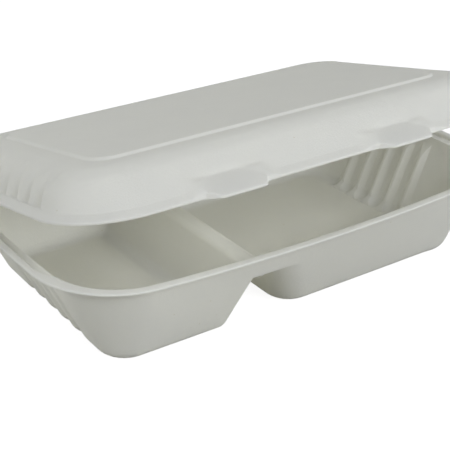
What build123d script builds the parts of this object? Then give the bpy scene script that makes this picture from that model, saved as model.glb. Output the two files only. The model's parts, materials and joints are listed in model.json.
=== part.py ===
"""Moulded-fibre meal box: a two-compartment tray and a hinged lid with two front locking tabs.

Lengths in millimetres, +Z up, the tray standing on its feet at z = 0, its front towards -Y.
"""
import math
import os

from build123d import *

# Overall sizes of the closed box
box_length = 250.0
box_width = 163.0
tray_height = 44.7
lid_rise = 18.6
lid_rest_angle = 11.8

# Sheet and clearances
sheet = 1.0
rim_sheet = 1.2
edge_round = 0.5
hinge_gap = 0.25
overlap = 0.4
level_gap = 0.01
half_share = 0.5
half_turn = 180.0

# Tray rim and the wall top under it
rim_corner_radius = 42.0
rim_front_bow = 8.3
rim_end_bow = 2.6
rim_flange = 3.2
rim_end_flange = 4.0
wall_top_radius = 34.0
mouth_round = 1.2
end_shelf_width = 2.4
end_shelf_depth = 2.0
end_shelf_half_width = 52.0
end_shelf_corner = 20.0

# Tray foot
foot_end_inset = 26.3
foot_side_inset = 24.5
foot_corner_radius = 12.5
foot_edge_round = 7.5

# Divider between the two compartments, with the open notch under it
notch_place = -30.0
notch_top_width = 6.8
notch_left_run = 7.1
notch_right_run = 16.6
notch_height = 31.0
notch_top_round = 2.6
notch_left_round = 7.0
notch_right_round = 16.0

# Round ribs of the end walls and the grooves pressed between them
rib_radius = 9.0
rib_pitch = 11.7
rib_swell = 0.12
rib_floor_gap = 0.2
groove_depth = 1.7
groove_foot_height = 4.5
groove_foot_run = 3.5
groove_top_fade = 8.0
groove_top_gap = 3.2
tray_rib_place_shares = (-2.5, -1.5, -0.5, 0.5, 1.5, 2.5)
tray_rib_middle = 6.0
lid_rib_place_shares = (-3.5, -2.5, -1.5, -0.5, 0.5, 1.5, 2.5, 3.5)
lid_rib_middle = 4.35
lid_groove_margin = 5.0

# Lid lip, wall, shoulder and raised top panel
lip_inset = 2.0
lip_corner_radius = 33.0
lip_flare = 2.0
lip_flare_round = 3.0
lip_end_flange = 4.0
lip_front_flange = 3.6
wall_corner_radius = 30.0
shoulder_end_inset = 11.7
shoulder_side_inset = 20.0
shoulder_corner_radius = 24.0
shoulder_round = 18.5
panel_end_margin = 19.2
panel_side_margin = 13.0
panel_corner_radius = 10.0
panel_rise = 1.2
panel_slope = 1.4
panel_edge_round = 0.8
panel_foot_round = 1.5

# Locking tabs and the pressed recesses above them
tab_middles = (-50.5, 39.6)
tab_root_half_width = 16.0
tab_tip_half_width = 11.0
tab_reach = 6.0
tab_corner_radius = 2.0
recess_half_width = 8.6
recess_depth = 7.4
recess_rise = 11.8
recess_side_run_share = 0.95
recess_corner_round = 3.0
recess_draft_angle = 14.0

half_length = box_length * half_share
half_width = box_width * half_share


def outline(half_x, front, back, radius, front_bow=0.0, end_bow=0.0):
    """Plan outline with rounded corners, its front and ends swelling by the bows."""
    corner_x = half_x - end_bow
    corner_y = front_bow - front
    middle_y = (corner_y + back) * half_share
    front_left, front_right = (-corner_x, corner_y), (corner_x, corner_y)
    back_left, back_right = (-corner_x, back), (corner_x, back)
    if front_bow > 0:
        front_edge = ThreePointArc(front_left, (0, -front), front_right)
    else:
        front_edge = Line(front_left, front_right)
    if end_bow > 0:
        right_edge = ThreePointArc(front_right, (half_x, middle_y), back_right)
        left_edge = ThreePointArc(back_left, (-half_x, middle_y), front_left)
    else:
        right_edge = Line(front_right, back_right)
        left_edge = Line(back_left, front_left)
    back_edge = Line(back_right, back_left)
    face = make_face([front_edge, right_edge, back_edge, left_edge])
    return fillet(face.vertices(), radius)


def plate(shape, bottom, top):
    """Upright plate on a plan outline, from one height to another."""
    return extrude(Pos(0, 0, bottom) * shape, amount=top - bottom)


def soft_plate(shape, bottom, top):
    """Upright plate with its upper and lower edges rounded."""
    body = plate(shape, bottom, top)
    levels = body.edges().group_by(Axis.Z)
    return fillet(levels[0] + levels[-1], edge_round)


def edges_at(body, height):
    """Edges that lie at one height."""
    return body.edges().filter_by_position(Axis.Z, height - level_gap, height + level_gap)


def prism_along_y(points, reach):
    """Bar along Y with a section given by (x, z) points."""
    profile = make_face(Polyline(*points, close=True))
    return extrude(Plane.XZ * profile, amount=reach, both=True)


def on_both_ends(shape, middle):
    """The same shape on the right end and, turned half round, on the left end."""
    right = Pos(0, middle, 0) * shape
    return [right, right.rotate(Axis.Z, half_turn)]


def grooves(band, ribs, place_shares):
    """Grooves left in a band along an end wall once the round ribs are taken out of it."""
    shape = extrude(Plane.XZ * band, amount=rib_pitch * place_shares[-1], both=True)
    return shape - [Pos(0, rib_pitch * place, 0) * ribs for place in place_shares]


# Tray: outer body with the walls leaning out to the rim
rim_under = tray_height - rim_sheet
foot_half_length = half_length - foot_end_inset
foot_half_width = half_width - foot_side_inset
wall_top_half_length = half_length - rim_end_flange - end_shelf_width
wall_top_half_width = half_width - rim_flange
end_run = wall_top_half_length - foot_half_length
side_run = wall_top_half_width - foot_half_width
end_wall_length = math.hypot(end_run, rim_under)
side_wall_length = math.hypot(side_run, rim_under)
tray_end_sheet = sheet * end_wall_length / rim_under
tray_side_sheet = sheet * side_wall_length / rim_under
notch_left_top = notch_place - notch_top_width * half_share
notch_right_top = notch_place + notch_top_width * half_share
notch_left_foot = notch_left_top - notch_left_run
notch_right_foot = notch_right_top + notch_right_run


def tray_section(height, end_cut, side_cut, corner_cut):
    """Plan outline of the tray wall at a height, drawn in by the cuts."""
    share = height / rim_under
    half_x = foot_half_length + end_run * share - end_cut
    half_y = foot_half_width + side_run * share - side_cut
    radius = foot_corner_radius + (wall_top_radius - foot_corner_radius) * share - corner_cut
    bows = (rim_front_bow * share, rim_end_bow * share)
    return Pos(0, 0, height) * outline(half_x, half_y, half_y, radius, *bows)


def divider(grow):
    """Section points of the wedge between the two feet, grown by a sheet thickness."""
    left_grow = grow * math.hypot(notch_left_run, notch_height) / notch_height
    right_grow = grow * math.hypot(notch_right_run, notch_height) / notch_height
    top = notch_height + grow
    top_share = top / notch_height
    return [
        (notch_left_foot - left_grow, 0),
        (notch_left_foot + notch_left_run * top_share - left_grow, top),
        (notch_right_foot - notch_right_run * top_share + right_grow, top),
        (notch_right_foot + right_grow, 0),
    ]


def tray_body(walls, grow):
    """Body of the two feet: the walls parted by the wedge, with rounded corners and crest."""
    bar = prism_along_y(divider(grow), box_width)
    body = walls - bar
    floor = body.bounding_box().min.Z
    crest = notch_height + grow
    middle = (floor + crest) * half_share
    sides = body.edges().filter_by_position(Axis.Z, middle - overlap, middle + overlap)
    left_sides = sides.filter_by_position(Axis.X, notch_left_foot, notch_place)
    body = fillet(left_sides, notch_left_round - grow)
    sides = body.edges().filter_by_position(Axis.Z, middle - overlap, middle + overlap)
    right_sides = sides.filter_by_position(Axis.X, notch_place, notch_right_foot)
    body = fillet(right_sides, notch_right_round - grow)
    base = body.edges().filter_by_position(Axis.Z, floor - overlap, floor + overlap)
    body = fillet(base, foot_edge_round - grow)
    right_edge = edges_at(body, crest).filter_by(Axis.Y).sort_by(Axis.X)[-1]
    body = fillet(right_edge, notch_top_round + grow)
    left_edge = edges_at(bar, crest).filter_by(Axis.Y).sort_by(Axis.X)[0]
    left_fill = (bar - fillet(left_edge, notch_top_round + grow)) & walls
    return body + left_fill


def tray_grooves(cut, end_cut):
    """Grooves down the end walls of the tray, for faces drawn in by a cut."""
    top = tray_height - groove_top_gap
    full = top - groove_top_fade
    lean_share = end_run / rim_under
    stretch_share = end_wall_length / rim_under
    face_x = foot_half_length - end_cut
    floor_x = face_x - groove_depth * stretch_share
    outer_x = face_x + overlap * stretch_share
    foot = cut - overlap
    band = make_face(Polyline(
        (floor_x + full * lean_share, full),
        (floor_x + groove_foot_height * lean_share, groove_foot_height),
        (floor_x - groove_foot_run, foot),
        (outer_x + foot * lean_share, foot),
        (outer_x + top * lean_share, top),
        close=True,
    ))
    low_z = rib_radius + rib_floor_gap
    axis_x = foot_half_length - (rib_radius - rib_swell) * stretch_share
    low = Vector(axis_x + low_z * lean_share, 0, low_z)
    high = Vector(axis_x + (top + rib_radius) * lean_share, 0, top + rib_radius)
    lie = Plane(origin=low, x_dir=(0, 1, 0), z_dir=high - low)
    ribs = extrude(lie * Circle(rib_radius - cut), amount=(high - low).length)
    ribs = ribs + Pos(low) * Sphere(rib_radius - cut)
    return on_both_ends(grooves(band, ribs, tray_rib_place_shares), tray_rib_middle)


outer_walls = loft([tray_section(0, 0, 0, 0), tray_section(rim_under, 0, 0, 0)], ruled=True)
shelf_half_length = wall_top_half_length + end_shelf_width
shelf = outline(shelf_half_length, end_shelf_half_width, end_shelf_half_width, end_shelf_corner)
shelf_under = offset(shelf, amount=sheet)
shelf_floor = tray_height - end_shelf_depth
rim = outline(half_length, half_width, half_width, rim_corner_radius, rim_front_bow, rim_end_bow)
tray = tray_body(outer_walls, 0) - tray_grooves(0, 0)
rim_plate = soft_plate(rim, rim_under, tray_height)
tray = tray + [rim_plate, plate(shelf_under, shelf_floor - sheet, tray_height)]

cuts = (tray_end_sheet, tray_side_sheet, sheet)
inner_walls = loft([tray_section(sheet, *cuts), tray_section(tray_height + overlap, *cuts)], ruled=True)
hollow = tray_body(inner_walls, sheet) - tray_grooves(sheet, tray_end_sheet)
tray = tray - hollow - plate(shelf, shelf_floor, tray_height + overlap)
rim_face = tray.faces().sort_by(Axis.Z)[-1]
tray = fillet(rim_face.inner_wires()[0].edges(), mouth_round)

# Lid, drawn closed
lip_low = tray_height + hinge_gap
lip_high = lip_low + rim_sheet
wall_low = lip_high + lip_flare
panel_top = tray_height + lid_rise
shoulder_top = panel_top - panel_rise
lip_half_length = half_length - lip_inset
wall_half_length = lip_half_length - lip_end_flange
wall_half_width = half_width - lip_front_flange
wall_height = shoulder_top - wall_low
shoulder_half_length = half_length - shoulder_end_inset
shoulder_half_width = half_width - shoulder_side_inset
panel_half_length = shoulder_half_length - panel_end_margin
panel_half_width = shoulder_half_width - panel_side_margin
lid_end_run = wall_half_length - shoulder_half_length
lid_side_run = wall_half_width - shoulder_half_width
lid_end_length = math.hypot(lid_end_run, wall_height)
lid_end_sheet = sheet * lid_end_length / wall_height
lid_side_sheet = sheet * math.hypot(lid_side_run, wall_height) / wall_height


def lid_section(height, end_cut, side_cut, corner_cut):
    """Plan outline of the lid wall at a height, drawn in by the cuts."""
    share = (height - wall_low) / wall_height
    half_x = wall_half_length - lid_end_run * share - end_cut
    half_y = wall_half_width - lid_side_run * share - side_cut
    radius = wall_corner_radius + (shoulder_corner_radius - wall_corner_radius) * share - corner_cut
    return Pos(0, 0, height) * outline(half_x, half_y, half_y, radius)


def panel_outline(grow):
    """Plan outline of the raised top panel, grown on all sides."""
    half_y = panel_half_width + grow
    return outline(panel_half_length + grow, half_y, half_y, panel_corner_radius + grow)


def lid_body(sections, bottom, grow):
    """Lid body from its lip up to the rounded shoulder and the raised panel."""
    lip = sections[0]
    walls = loft(sections, ruled=True)
    top = walls.bounding_box().max.Z
    body = fillet(edges_at(walls, top), shoulder_round - grow)
    cut = grow * half_share
    panel_foot = Pos(0, 0, top) * panel_outline(panel_slope - cut)
    panel = Pos(0, 0, top + panel_rise) * panel_outline(-cut)
    panel = loft([panel_foot, panel], ruled=True)
    body = body + fillet(edges_at(panel, top + panel_rise), panel_edge_round)
    foot_x = panel_half_length + panel_slope
    foot_y = panel_half_width + panel_slope
    foot_edges = edges_at(body, top).filter_by_position(Axis.X, -foot_x, foot_x)
    body = fillet(foot_edges.filter_by_position(Axis.Y, -foot_y, foot_y), panel_foot_round)
    return body + extrude(lip, amount=bottom - lip.center().Z)


def soft_lip(body):
    """Rounds the edges of the lip and the hollow where it flares out of the wall."""
    body = fillet(edges_at(body, wall_low), lip_flare_round)
    return fillet(edges_at(body, lip_high) + edges_at(body, lip_low), edge_round)


def lid_grooves(cut, end_cut, low):
    """Grooves up the end walls of the lid and over its shoulder, for faces drawn in by a cut."""
    lean_share = lid_end_run / wall_height
    stretch_share = lid_end_length / wall_height
    top = shoulder_top - cut
    face_x = shoulder_half_length - end_cut + cut * lean_share
    floor_top = top - groove_depth
    floor_x = face_x - groove_depth * stretch_share + groove_depth * lean_share
    inner_x = panel_half_length + panel_slope + lid_groove_margin
    outer_x = face_x + overlap * stretch_share
    band = make_face(Polyline(
        (floor_x + (floor_top - low) * lean_share, low),
        (floor_x, floor_top),
        (inner_x, top + overlap),
        (outer_x, top + overlap),
        (outer_x + (top - low) * lean_share, low),
        close=True,
    ))
    bend = band.vertices().sort_by_distance((floor_x, floor_top))[0]
    band = fillet(bend, shoulder_round - groove_depth - cut)
    depth = rib_radius - rib_swell
    axis_z = shoulder_top - depth
    axis_x = shoulder_half_length - depth * stretch_share + depth * lean_share
    low_z = low - rib_radius
    path = Plane.XZ * FilletPolyline(
        (axis_x + (axis_z - low_z) * lean_share, low_z),
        (axis_x, axis_z),
        (inner_x - rib_radius, axis_z),
        radius=shoulder_round - depth,
    )
    lie = Plane(origin=path @ 0, z_dir=path % 0)
    ribs = sweep(lie * Circle(rib_radius - cut), path=path)
    return on_both_ends(grooves(band, ribs, lid_rib_place_shares), lid_rib_middle)


def recesses(grow):
    """Pressed recesses in the front wall above the locking tabs."""
    shapes = []
    back = recess_depth - half_width
    front = -half_width - tab_reach - overlap
    spread = (back - front) * recess_side_run_share
    for middle in tab_middles:
        plan = make_face(Polyline(
            (middle - recess_half_width, back),
            (middle + recess_half_width, back),
            (middle + recess_half_width + spread, front),
            (middle - recess_half_width - spread, front),
            close=True,
        ))
        plan = fillet(plan.vertices().group_by(Axis.Y)[-1], recess_corner_round)
        if grow > 0:
            plan = offset(plan, amount=grow, kind=Kind.INTERSECTION)
        foot = Pos(0, 0, lip_high - grow) * plan
        shapes.append(extrude(foot, amount=recess_rise + grow + grow, taper=-recess_draft_angle))
    return shapes


def tabs():
    """Locking tabs: flat tongues standing out from the front lip."""
    shapes = []
    root, tip = rim_sheet - half_width, -half_width - tab_reach
    for middle in tab_middles:
        plan = make_face(Polyline(
            (middle - tab_root_half_width, root),
            (middle + tab_root_half_width, root),
            (middle + tab_tip_half_width, tip),
            (middle - tab_tip_half_width, tip),
            close=True,
        ))
        plan = fillet(plan.vertices().group_by(Axis.Y)[0], tab_corner_radius)
        shapes.append(soft_plate(plan, lip_low, lip_high))
    return shapes


def lip_outline(cut):
    """Plan outline of the lid lip, drawn in by a cut."""
    return outline(lip_half_length - cut, half_width - cut, half_width - cut, lip_corner_radius - cut)


outer_sections = [
    Pos(0, 0, lip_high) * lip_outline(0),
    lid_section(wall_low, 0, 0, 0),
    lid_section(shoulder_top, 0, 0, 0),
]
lid = soft_lip(lid_body(outer_sections, lip_low, 0))
lid = lid - lid_grooves(0, 0, wall_low) - recesses(0)

cuts = (lid_end_sheet, lid_side_sheet, sheet)
inner_sections = [
    Pos(0, 0, lip_low) * lip_outline(rim_sheet),
    lid_section(wall_low - rim_sheet, *cuts),
    lid_section(shoulder_top - sheet, *cuts),
]
lid_hollow = lid_body(inner_sections, lip_low - overlap, sheet)
lid_hollow = lid_hollow - lid_grooves(sheet, lid_end_sheet, wall_low - rim_sheet) - recesses(sheet)
lid = lid - lid_hollow + tabs()

hinge_axis = Axis((0, half_width, tray_height + hinge_gap * half_share), (1, 0, 0))
lid = lid.rotate(hinge_axis, -lid_rest_angle)

os.makedirs("parts", exist_ok=True)
export_step(tray, "parts/tray.step")
export_step(lid, "parts/lid.step")
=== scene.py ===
"""Moulded-fibre meal box: pressed-fibre finishes, soft lid tabs, the hinge fold and a plain studio.

Everything is in metres in the part's own frame: +X along the box, +Y to the fold at the back, +Z up.
"""
import json
import math

import bmesh
import bpy
from bpy.props import FloatProperty, FloatVectorProperty, IntProperty, PointerProperty
from mathutils import Matrix, Vector


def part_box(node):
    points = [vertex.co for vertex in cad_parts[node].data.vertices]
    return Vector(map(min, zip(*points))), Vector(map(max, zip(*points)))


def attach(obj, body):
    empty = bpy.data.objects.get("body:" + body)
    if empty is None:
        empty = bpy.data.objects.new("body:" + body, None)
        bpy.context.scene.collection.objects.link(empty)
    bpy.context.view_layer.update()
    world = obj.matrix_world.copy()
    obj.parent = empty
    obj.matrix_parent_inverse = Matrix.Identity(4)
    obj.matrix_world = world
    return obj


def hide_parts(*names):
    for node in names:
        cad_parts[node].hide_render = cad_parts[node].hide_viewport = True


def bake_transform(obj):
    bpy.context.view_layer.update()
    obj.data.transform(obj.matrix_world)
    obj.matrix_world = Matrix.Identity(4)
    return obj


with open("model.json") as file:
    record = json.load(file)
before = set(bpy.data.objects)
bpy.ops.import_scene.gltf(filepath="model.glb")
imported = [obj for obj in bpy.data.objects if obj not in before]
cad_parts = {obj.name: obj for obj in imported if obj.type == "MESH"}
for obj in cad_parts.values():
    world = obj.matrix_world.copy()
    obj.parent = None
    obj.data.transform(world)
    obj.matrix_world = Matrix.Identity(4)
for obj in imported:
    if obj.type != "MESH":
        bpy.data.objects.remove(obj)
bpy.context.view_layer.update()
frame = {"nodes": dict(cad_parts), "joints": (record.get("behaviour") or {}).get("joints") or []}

bl_info = {
    "name": "Moulded-fibre meal box",
    "version": (1, 0, 0),
    "blender": (4, 5, 0),
    "location": "3D View > Sidebar > Meal box",
    "description": "Pressed-fibre finishes, soft tabs, hinge fold and studio for a hinged meal box",
    "category": "Object",
}

TRAY_LOW, TRAY_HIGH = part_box("tray")
HINGE = frame["joints"][0]
HINGE_POINT = Vector(HINGE["pos_m"])

# How far the lid stands open, and the turn about the fold, along X, that closes it
LID_AJAR = -math.radians(HINGE["range_deg"][0])
LID_CLOSING = Matrix.Rotation(LID_AJAR, 3, "X")

# Fibre patterns: their noise, the part of its range over which the tone changes, and the tones
CLOUD_NOISE = {"detail": 3.0, "roughness": 0.55}
GRAIN_NOISE = {"detail": 4.0, "roughness": 0.7}
FIBRE_NOISE = {"detail": 2.0, "roughness": 0.6, "distortion": 2.5}
CLOUD_RANGE = (0.3, 0.7)
FIBRE_RANGE = (0.3, 0.6)
FLECK_RANGE = (0.02, 0.035)
THICK_PULP_SHARE = 0.985
THIN_PULP_SHARE = 1.01
FIBRE_SHADE = (0.98, 0.98, 0.975)
FLECK_SHADE = (0.72, 0.69, 0.6)
UNSHADED = (1.0, 1.0, 1.0)
FIBRE_SHEEN = 0.25

# The closed lid's tabs: their middles, and how far the soft pressing reaches round each of them
TAB_MIDDLES = (-0.0505, 0.0396)
TAB_HALF_WIDTH = 0.027
TAB_BACK = -0.06
TAB_TOP = 0.065
TAB_TIP = -0.0875

# The closed lid's lip: its top, and how level the normal of its thin edge is
LIP_TOP = 0.0461
RIM_LEVEL = 0.35

# The slope that runs from the foot of a recess to the tip of its tab
LEDGE_RUN = 0.0134
LEDGE_HALF_WIDTH = 0.0205
LEDGE_FADE = 0.0055
LEDGE_DEPTH = 0.00055

# The fine mesh of the lid
WELD_DISTANCE = 0.000001
MOST_ROUNDS = 6
SMOOTH_FACTOR = 0.5
SHARP_ANGLE = math.radians(40.0)

# The fold's mesh, and the angle at which it leaves the tray's rim, straight down
FOLD_STEPS_ALONG = 32
FOLD_STEPS_ROUND = 14
FOLD_START = -math.pi / 2.0

# The studio: floor, gap from the feet to the cards and from the cards to the floor, and where each lamp
# stands, in degrees round the box from the front and above the floor
FLOOR_WIDTH = 6.0
CARD_GAP = 0.00015
LAMPS = (("front", 6.0, 28.0), ("right", 75.0, 28.0), ("left", -99.0, 24.0), ("back", 180.0, 19.0))
WHITE = (1.0, 1.0, 1.0, 1.0)

# The photograph's camera: where it stands and the directions of its right and up
CAMERA_PLACE = Vector((-0.28021, -0.40564, 0.26212))
CAMERA_RIGHT = Vector((0.824807, -0.565399, -0.004199))
CAMERA_UP = Vector((0.255321, 0.365817, 0.894980))
CAMERA_LENS_MM = 88.1
CAMERA_SENSOR_MM = 36.0
CAMERA_NEAREST = 0.01


class FibreSettings(bpy.types.PropertyGroup):
    """Colour and surface of the pressed fibre."""

    tray_colour: FloatVectorProperty(
        name="Tray colour", description="Colour of the tray's fibre", subtype="COLOR",
        size=3, min=0.0, max=1.0, default=(0.968, 0.975, 0.993),
    )
    lid_colour: FloatVectorProperty(
        name="Lid colour", description="Colour of the lid's fibre", subtype="COLOR",
        size=3, min=0.0, max=1.0, default=(0.968, 0.975, 0.993),
    )
    through_colour: FloatVectorProperty(
        name="Through colour", description="Colour of the light that passes the thin sheet",
        subtype="COLOR", size=3, min=0.0, max=1.0, default=(0.992, 0.98, 0.87),
    )
    through_share: FloatProperty(
        name="Through share", description="Share of light that a face of the sheet lets through",
        subtype="FACTOR", min=0.0, max=1.0, default=0.5,
    )
    mottle_size: FloatProperty(
        name="Mottle size", description="Width of a cloud of thicker pulp", unit="LENGTH", default=0.016,
    )
    grain_size: FloatProperty(
        name="Grain size", description="Width of a fibre tuft", unit="LENGTH", default=0.0014,
    )
    grain_depth: FloatProperty(
        name="Grain depth", description="Height of the felt grain", unit="LENGTH", default=0.00012,
    )
    fibre_size: FloatProperty(
        name="Fibre size", description="Width of the tangle of short fibres", unit="LENGTH", default=0.0008,
    )
    fibre_depth: FloatProperty(
        name="Fibre depth", description="Height of the short fibres", unit="LENGTH", default=0.00006,
    )
    fleck_spacing: FloatProperty(
        name="Fleck spacing", description="Distance between darker flecks", unit="LENGTH", default=0.012,
    )
    roughness: FloatProperty(
        name="Roughness", description="Roughness of the dry fibre", subtype="FACTOR",
        min=0.0, max=1.0, default=0.82,
    )


class PressSettings(bpy.types.PropertyGroup):
    """Softness of the lid's pressed recesses and tabs."""

    facet_size: FloatProperty(
        name="Facet size", description="Longest edge of the fine mesh at the tabs",
        unit="LENGTH", default=0.0012,
    )
    ledge_rise: FloatProperty(
        name="Ledge rise", description="Rise of a tab at the foot of its recess",
        unit="LENGTH", default=0.0048,
    )
    passes: IntProperty(
        name="Passes", description="Smoothing passes over the recesses and tabs", min=0, default=30,
    )


class FoldSettings(bpy.types.PropertyGroup):
    """Pressed fold that joins the lid to the tray."""

    half_length: FloatProperty(
        name="Half length", description="Reach of the fold to each side of the middle",
        unit="LENGTH", default=0.082,
    )
    radius: FloatProperty(
        name="Radius", description="Inner radius of the fold about its axis",
        unit="LENGTH", default=0.00136,
    )
    thickness: FloatProperty(
        name="Thickness", description="Thickness of the thinned sheet", unit="LENGTH", default=0.0004,
    )
    lid_angle: FloatProperty(
        name="Lid angle", description="Angle at which the fold meets the lid, from level",
        subtype="ANGLE", default=math.pi / 2.0 - LID_AJAR,
    )


class StudioSettings(bpy.types.PropertyGroup):
    """Lamps and background of the plain studio."""

    front_power: FloatProperty(
        name="Front", description="Power of the soft lamp at the front", unit="POWER", default=12.9,
    )
    left_power: FloatProperty(
        name="Left", description="Power of the soft lamp at the left end", unit="POWER", default=8.0,
    )
    right_power: FloatProperty(
        name="Right", description="Power of the soft lamp at the right end", unit="POWER", default=4.4,
    )
    back_power: FloatProperty(
        name="Back", description="Power of the soft lamp behind the fold", unit="POWER", default=5.8,
    )
    lamp_distance: FloatProperty(
        name="Lamp distance", description="Distance of the lamps from the box", unit="LENGTH", default=1.3,
    )
    lamp_width: FloatProperty(
        name="Lamp width", description="Width of each soft lamp", unit="LENGTH", default=0.65,
    )
    lamp_colour: FloatVectorProperty(
        name="Lamp colour", description="Colour of the lamps, a little cooler than white",
        subtype="COLOR", size=3, min=0.0, max=1.0, default=(0.95, 0.966, 1.0),
    )
    sky_level: FloatProperty(
        name="Sky", description="Level of the even light from all round", default=0.01,
    )
    floor_colour: FloatVectorProperty(
        name="Floor colour", description="Colour of the pale floor", subtype="COLOR",
        size=3, min=0.0, max=1.0, default=(0.25, 0.25, 0.25),
    )
    floor_glow: FloatProperty(
        name="Floor glow", description="White added to the floor where the camera sees it", default=0.9,
    )
    card_colour: FloatVectorProperty(
        name="Card colour", description="Colour of the cards under the tray's feet", subtype="COLOR",
        size=3, min=0.0, max=1.0, default=(0.95, 0.95, 0.95),
    )


def new_material(name):
    """Node material with one principled shader, and its nodes and links."""
    material = bpy.data.materials.new(name)
    material.use_nodes = True
    return material, material.node_tree.nodes, material.node_tree.links


def noise(nodes, links, vector, size, detail, roughness, distortion=0.0):
    """Noise whose clouds are about one size across, on the given coordinates."""
    node = nodes.new("ShaderNodeTexNoise")
    node.inputs["Scale"].default_value = 1.0 / size
    node.inputs["Detail"].default_value = detail
    node.inputs["Roughness"].default_value = roughness
    node.inputs["Distortion"].default_value = distortion
    links.new(vector, node.inputs["Vector"])
    return node.outputs["Fac"]


def specks(nodes, links, vector, spacing):
    """Distance to the nearest of points strewn about one spacing apart."""
    node = nodes.new("ShaderNodeTexVoronoi")
    node.inputs["Scale"].default_value = 1.0 / spacing
    links.new(vector, node.inputs["Vector"])
    return node.outputs["Distance"]


def tinted(nodes, links, colour, tint):
    """One colour multiplied by another."""
    node = nodes.new("ShaderNodeMix")
    node.data_type = "RGBA"
    node.blend_type = "MULTIPLY"
    node.inputs[0].default_value = 1.0
    links.new(colour, node.inputs[6])
    links.new(tint, node.inputs[7])
    return node.outputs[2]


def raised(nodes, links, height, depth, below=None):
    """Normal of a surface raised by a height map, over another such normal."""
    node = nodes.new("ShaderNodeBump")
    node.inputs["Strength"].default_value = 1.0
    node.inputs["Distance"].default_value = depth
    links.new(height, node.inputs["Height"])
    if below:
        links.new(below, node.inputs["Normal"])
    return node.outputs["Normal"]


def ramp(nodes, links, value, span, dark, light):
    """Colour ramp from a dark to a light tone over a span of a value's range."""
    node = nodes.new("ShaderNodeValToRGB")
    for element, position, tone in zip(node.color_ramp.elements, span, (dark, light)):
        element.position = position
        element.color = (*tone, 1.0)
    links.new(value, node.inputs["Fac"])
    return node.outputs["Color"]


def fibre_material(name, colour, settings):
    """Matt pressed fibre: cloudy pulp, a felt of short tangled fibres and a few darker flecks."""
    material, nodes, links = new_material(name)
    place = nodes.new("ShaderNodeTexCoord").outputs["Object"]
    cloud = noise(nodes, links, place, settings.mottle_size, **CLOUD_NOISE)
    grain = noise(nodes, links, place, settings.grain_size, **GRAIN_NOISE)
    fibres = noise(nodes, links, place, settings.fibre_size, **FIBRE_NOISE)
    flecks = specks(nodes, links, place, settings.fleck_spacing)

    dark = [tone * THICK_PULP_SHARE for tone in colour]
    light = [min(1.0, tone * THIN_PULP_SHARE) for tone in colour]
    pulp = ramp(nodes, links, cloud, CLOUD_RANGE, dark, light)
    felt = ramp(nodes, links, fibres, FIBRE_RANGE, FIBRE_SHADE, UNSHADED)
    strewn = ramp(nodes, links, flecks, FLECK_RANGE, FLECK_SHADE, UNSHADED)
    tone = tinted(nodes, links, tinted(nodes, links, pulp, felt), strewn)
    normal = raised(nodes, links, grain, settings.grain_depth)
    normal = raised(nodes, links, fibres, settings.fibre_depth, normal)

    face = nodes["Principled BSDF"]
    face.inputs["Roughness"].default_value = settings.roughness
    face.inputs["Specular IOR Level"].default_value = FIBRE_SHEEN
    links.new(tone, face.inputs["Base Color"])
    links.new(normal, face.inputs["Normal"])
    through = nodes.new("ShaderNodeBsdfTranslucent")
    through.inputs["Color"].default_value = (*settings.through_colour, 1.0)
    links.new(normal, through.inputs["Normal"])
    sheet = nodes.new("ShaderNodeMixShader")
    sheet.inputs["Fac"].default_value = settings.through_share
    links.new(face.outputs["BSDF"], sheet.inputs[1])
    links.new(through.outputs["BSDF"], sheet.inputs[2])
    links.new(sheet.outputs["Shader"], nodes["Material Output"].inputs["Surface"])
    return material


def dress(piece, material):
    """Gives a piece one material."""
    piece.data.materials.clear()
    piece.data.materials.append(material)


def new_piece(name):
    """Plane that is to become a piece, selected alone."""
    bpy.ops.object.select_all(action="DESELECT")
    bpy.ops.mesh.primitive_plane_add(size=1.0)
    piece = bpy.context.active_object
    piece.name = name
    return piece


def node_shape(node):
    """Copy of a CAD node's mesh in its place."""
    source = frame["nodes"][node]
    shape = bmesh.new()
    shape.from_mesh(source.data)
    shape.transform(source.matrix_world)
    return shape


class MEALBOX_OT_finish_tray(bpy.types.Operator):
    """Finish the tray in pressed fibre"""

    bl_idname = "mealbox.finish_tray"
    bl_label = "Finish tray"

    def execute(self, context):
        fibre = context.scene.mealbox_fibre
        dress(frame["nodes"]["tray"], fibre_material("pressed_fibre_tray", fibre.tray_colour, fibre))
        return {"FINISHED"}


def when_closed(point):
    """Where a point of the lid, as it stands ajar, is when the lid is closed."""
    return HINGE_POINT + LID_CLOSING @ (point - HINGE_POINT)


def beside_tab(closed):
    """How far a point of the closed lid is to the side of the nearest tab's middle."""
    return min(abs(closed.x - middle) for middle in TAB_MIDDLES)


def near_tab(point):
    """Whether a point of the lid, as it stands ajar, is at a tab or the recess above it."""
    closed = when_closed(point)
    return beside_tab(closed) < TAB_HALF_WIDTH and closed.y < TAB_BACK and closed.z < TAB_TOP


def is_rim(face):
    """Whether a face is on the thin edge of the lip or of a tab."""
    closed = when_closed(face.calc_center_median())
    return abs((LID_CLOSING @ face.normal).z) < RIM_LEVEL and closed.z < LIP_TOP


def ledge_fill(point, normal, settings):
    """How far a point on top of a tab rises, so that the tab slopes down from the foot of its recess."""
    closed = when_closed(point)
    if (LID_CLOSING @ normal).z < 0.0 or closed.z < LIP_TOP - LEDGE_DEPTH:
        return 0.0
    shares = (
        (closed.y - TAB_TIP) / LEDGE_RUN,
        (LEDGE_HALF_WIDTH - beside_tab(closed)) / LEDGE_FADE,
        1.0 - (closed.z - LIP_TOP) / LEDGE_FADE,
    )
    return settings.ledge_rise * math.prod(min(1.0, max(0.0, share)) for share in shares)


def refine_tabs(shape, settings):
    """Splits the long edges of the mesh at the tabs and recesses."""
    for _ in range(MOST_ROUNDS):
        long_edges = [
            edge for edge in shape.edges
            if edge.calc_length() > settings.facet_size and any(near_tab(vert.co) for vert in edge.verts)
        ]
        if not long_edges:
            break
        bmesh.ops.subdivide_edges(shape, edges=long_edges, cuts=1)
        bmesh.ops.triangulate(shape, faces=[face for face in shape.faces if len(face.verts) > 3])


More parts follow.
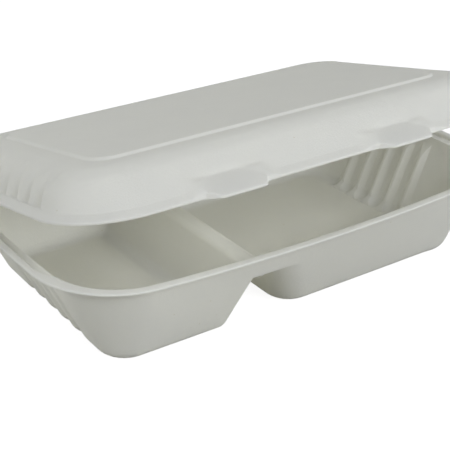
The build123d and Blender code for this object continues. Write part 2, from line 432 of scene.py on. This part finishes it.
def soften_tabs(shape, settings):
    """Fills the foot of each recess and smooths recesses and tabs, but for the thin edges."""
    shape.normal_update()
    held = {vert for face in shape.faces if is_rim(face) for vert in face.verts}
    moved = [vert for vert in shape.verts if vert not in held and near_tab(vert.co)]
    for vert in moved:
        rise = ledge_fill(vert.co, vert.normal, settings)
        vert.co += LID_CLOSING.inverted() @ Vector((0.0, 0.0, rise))
    for _ in range(settings.passes):
        bmesh.ops.smooth_vert(
            shape, verts=moved, factor=SMOOTH_FACTOR, use_axis_x=True, use_axis_y=True, use_axis_z=True,
        )


def lid_shell(settings):
    """Lid of the CAD model with its tabs and recesses softened."""
    shell = new_piece("lid_shell")
    shape = node_shape("lid")
    bmesh.ops.remove_doubles(shape, verts=shape.verts, dist=WELD_DISTANCE)
    refine_tabs(shape, settings)
    soften_tabs(shape, settings)
    shape.to_mesh(shell.data)
    shape.free()
    bpy.ops.object.shade_smooth()
    shell.data.set_sharp_from_angle(angle=SHARP_ANGLE)
    normals = shell.modifiers.new("normals", "WEIGHTED_NORMAL")
    normals.keep_sharp = True
    bpy.ops.object.modifier_apply(modifier=normals.name)
    return shell


class MEALBOX_OT_finish_lid(bpy.types.Operator):
    """Make the lid with softly pressed tabs and finish it in pressed fibre"""

    bl_idname = "mealbox.finish_lid"
    bl_label = "Finish lid"

    def execute(self, context):
        fibre = context.scene.mealbox_fibre
        shell = lid_shell(context.scene.mealbox_press)
        dress(shell, fibre_material("pressed_fibre_lid", fibre.lid_colour, fibre))
        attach(shell, "lid")
        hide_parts("lid")
        return {"FINISHED"}


def fold_strip(settings):
    """Thin strip bent round the fold's axis, from under the tray's rim to the top of the lid's lip."""
    bpy.ops.object.select_all(action="DESELECT")
    bpy.ops.mesh.primitive_grid_add(
        x_subdivisions=FOLD_STEPS_ALONG, y_subdivisions=FOLD_STEPS_ROUND, size=1.0,
    )
    strip = bpy.context.active_object
    strip.name = "lid_fold"
    for vertex in strip.data.vertices:
        angle = FOLD_START + (settings.lid_angle - FOLD_START) * (vertex.co.y + 0.5)
        vertex.co = HINGE_POINT + Vector((
            2.0 * settings.half_length * vertex.co.x,
            settings.radius * math.cos(angle),
            settings.radius * math.sin(angle),
        ))
    sheet = strip.modifiers.new("sheet", "SOLIDIFY")
    sheet.thickness = settings.thickness
    sheet.offset = 1.0
    bpy.ops.object.modifier_apply(modifier=sheet.name)
    bpy.ops.object.shade_smooth()
    return strip


class MEALBOX_OT_make_fold(bpy.types.Operator):
    """Make the fold that joins the lid to the tray"""

    bl_idname = "mealbox.make_fold"
    bl_label = "Make fold"

    def execute(self, context):
        fibre, settings = context.scene.mealbox_fibre, context.scene.mealbox_fold
        strip = fold_strip(settings)
        dress(strip, fibre_material("pressed_fibre_fold", fibre.tray_colour, fibre))
        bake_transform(strip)
        return {"FINISHED"}


def white_for_camera(nodes, links, plain, white):
    """Mixes a shader with plain white for the rays that see it straight or by reflection."""
    path = nodes.new("ShaderNodeLightPath")
    seen = nodes.new("ShaderNodeMath")
    seen.operation = "MAXIMUM"
    links.new(path.outputs["Is Camera Ray"], seen.inputs[0])
    links.new(path.outputs["Is Glossy Ray"], seen.inputs[1])
    mix = nodes.new("ShaderNodeMixShader")
    links.new(seen.outputs["Value"], mix.inputs["Fac"])
    links.new(plain, mix.inputs[1])
    links.new(white, mix.inputs[2])
    return mix.outputs["Shader"]


def floor_material(settings):
    """Pale floor that looks white and still takes the soft shadow."""
    material, nodes, links = new_material("studio_floor")
    nodes.clear()
    plain = nodes.new("ShaderNodeBsdfDiffuse")
    plain.inputs["Color"].default_value = (*settings.floor_colour, 1.0)
    glow = nodes.new("ShaderNodeEmission")
    glow.inputs["Strength"].default_value = settings.floor_glow
    both = nodes.new("ShaderNodeAddShader")
    links.new(plain.outputs["BSDF"], both.inputs[0])
    links.new(glow.outputs["Emission"], both.inputs[1])
    output = nodes.new("ShaderNodeOutputMaterial")
    surface = white_for_camera(nodes, links, plain.outputs["BSDF"], both.outputs["Shader"])
    links.new(surface, output.inputs["Surface"])
    return material


def studio_floor(settings):
    """Broad floor a little under the cards."""
    bpy.ops.object.select_all(action="DESELECT")
    bpy.ops.mesh.primitive_plane_add(size=FLOOR_WIDTH, location=(0.0, 0.0, TRAY_LOW.z - 2.0 * CARD_GAP))
    floor = bpy.context.active_object
    floor.name = "studio_floor"
    dress(floor, floor_material(settings))
    return floor


def card_material(settings):
    """Matt white card."""
    material, nodes, _ = new_material("studio_card")
    face = nodes["Principled BSDF"]
    face.inputs["Base Color"].default_value = (*settings.card_colour, 1.0)
    face.inputs["Roughness"].default_value = 1.0
    face.inputs["Specular IOR Level"].default_value = 0.0
    return material


def foot_cards(settings):
    """White cards just under the tray's feet, which send back the light that passes the thin floor."""
    cards = new_piece("studio_cards")
    shape = node_shape("tray")
    above = [face for face in shape.faces if face.calc_center_median().z > TRAY_LOW.z + CARD_GAP]
    bmesh.ops.delete(shape, geom=above, context="FACES")
    bmesh.ops.translate(shape, verts=shape.verts, vec=(0.0, 0.0, -CARD_GAP))
    shape.to_mesh(cards.data)
    shape.free()
    dress(cards, card_material(settings))
    return cards


def soft_lamp(name, settings, side_angle, height_angle, power):
    """Square soft lamp that faces the box, at an angle round it from the front and one above the floor."""
    side, height = math.radians(side_angle), math.radians(height_angle)
    way = Vector((math.sin(side) * math.cos(height), -math.cos(side) * math.cos(height), math.sin(height)))
    lamp = bpy.data.lights.new(name, "AREA")
    lamp.shape = "SQUARE"
    lamp.size = settings.lamp_width
    lamp.energy = power
    lamp.color = settings.lamp_colour
    holder = bpy.data.objects.new(name, lamp)
    holder.location = Vector((0.0, 0.0, TRAY_HIGH.z)) + way * settings.lamp_distance
    holder.rotation_euler = way.to_track_quat("Z", "Y").to_euler()
    bpy.context.scene.collection.objects.link(holder)


def set_world(settings):
    """Even pale light from all round, white where the camera sees it."""
    world = bpy.data.worlds.new("studio_world")
    world.use_nodes = True
    nodes, links = world.node_tree.nodes, world.node_tree.links
    nodes.clear()
    sky = nodes.new("ShaderNodeBackground")
    sky.inputs["Color"].default_value = WHITE
    sky.inputs["Strength"].default_value = settings.sky_level
    white = nodes.new("ShaderNodeBackground")
    white.inputs["Color"].default_value = WHITE
    output = nodes.new("ShaderNodeOutputWorld")
    surface = white_for_camera(nodes, links, sky.outputs["Background"], white.outputs["Background"])
    links.new(surface, output.inputs["Surface"])
    bpy.context.scene.world = world


def set_camera():
    """Camera at the photograph's place and angle."""
    lens = bpy.data.cameras.new("photo_camera")
    lens.lens = CAMERA_LENS_MM
    lens.sensor_width = CAMERA_SENSOR_MM
    lens.clip_start = CAMERA_NEAREST
    camera = bpy.data.objects.new("photo_camera", lens)
    right = CAMERA_RIGHT.normalized()
    back = right.cross(CAMERA_UP).normalized()
    up = back.cross(right)
    turn = Matrix((right, up, back)).transposed()
    camera.matrix_world = Matrix.Translation(CAMERA_PLACE) @ turn.to_4x4()
    bpy.context.scene.collection.objects.link(camera)
    bpy.context.scene.camera = camera


class MEALBOX_OT_set_studio(bpy.types.Operator):
    """Set the floor, the cards, the lamps, the world and the camera"""

    bl_idname = "mealbox.set_studio"
    bl_label = "Set studio"

    def execute(self, context):
        settings = context.scene.mealbox_studio
        studio_floor(settings)
        foot_cards(settings)
        for side, side_angle, height_angle in LAMPS:
            power = getattr(settings, f"{side}_power")
            soft_lamp(f"{side}_lamp", settings, side_angle, height_angle, power)
        set_world(settings)
        set_camera()
        context.scene.view_settings.view_transform = "Standard"
        return {"FINISHED"}


class MEALBOX_PT_sidebar(bpy.types.Panel):
    """Settings and steps of the meal box"""

    bl_label = "Meal box"
    bl_idname = "MEALBOX_PT_sidebar"
    bl_space_type = "VIEW_3D"
    bl_region_type = "UI"
    bl_category = "Meal box"

    def draw(self, context):
        column = self.layout.column()
        for name in SETTINGS:
            group = getattr(context.scene, name)
            for setting in group.__annotations__:
                column.prop(group, setting)
        for step in OPERATORS:
            column.operator(step.bl_idname)


SETTINGS = {
    "mealbox_fibre": FibreSettings,
    "mealbox_press": PressSettings,
    "mealbox_fold": FoldSettings,
    "mealbox_studio": StudioSettings,
}
OPERATORS = (MEALBOX_OT_finish_tray, MEALBOX_OT_finish_lid, MEALBOX_OT_make_fold, MEALBOX_OT_set_studio)
CLASSES = (*SETTINGS.values(), *OPERATORS, MEALBOX_PT_sidebar)


def register():
    for part in CLASSES:
        bpy.utils.register_class(part)
    for name, group in SETTINGS.items():
        setattr(bpy.types.Scene, name, PointerProperty(type=group))


def unregister():
    for name in reversed(SETTINGS):
        delattr(bpy.types.Scene, name)
    for part in reversed(CLASSES):
        bpy.utils.unregister_class(part)


def main():
    register()
    bpy.ops.mealbox.finish_tray()
    bpy.ops.mealbox.finish_lid()
    bpy.ops.mealbox.make_fold()
    bpy.ops.mealbox.set_studio()


if __name__ == "__main__":
    main()
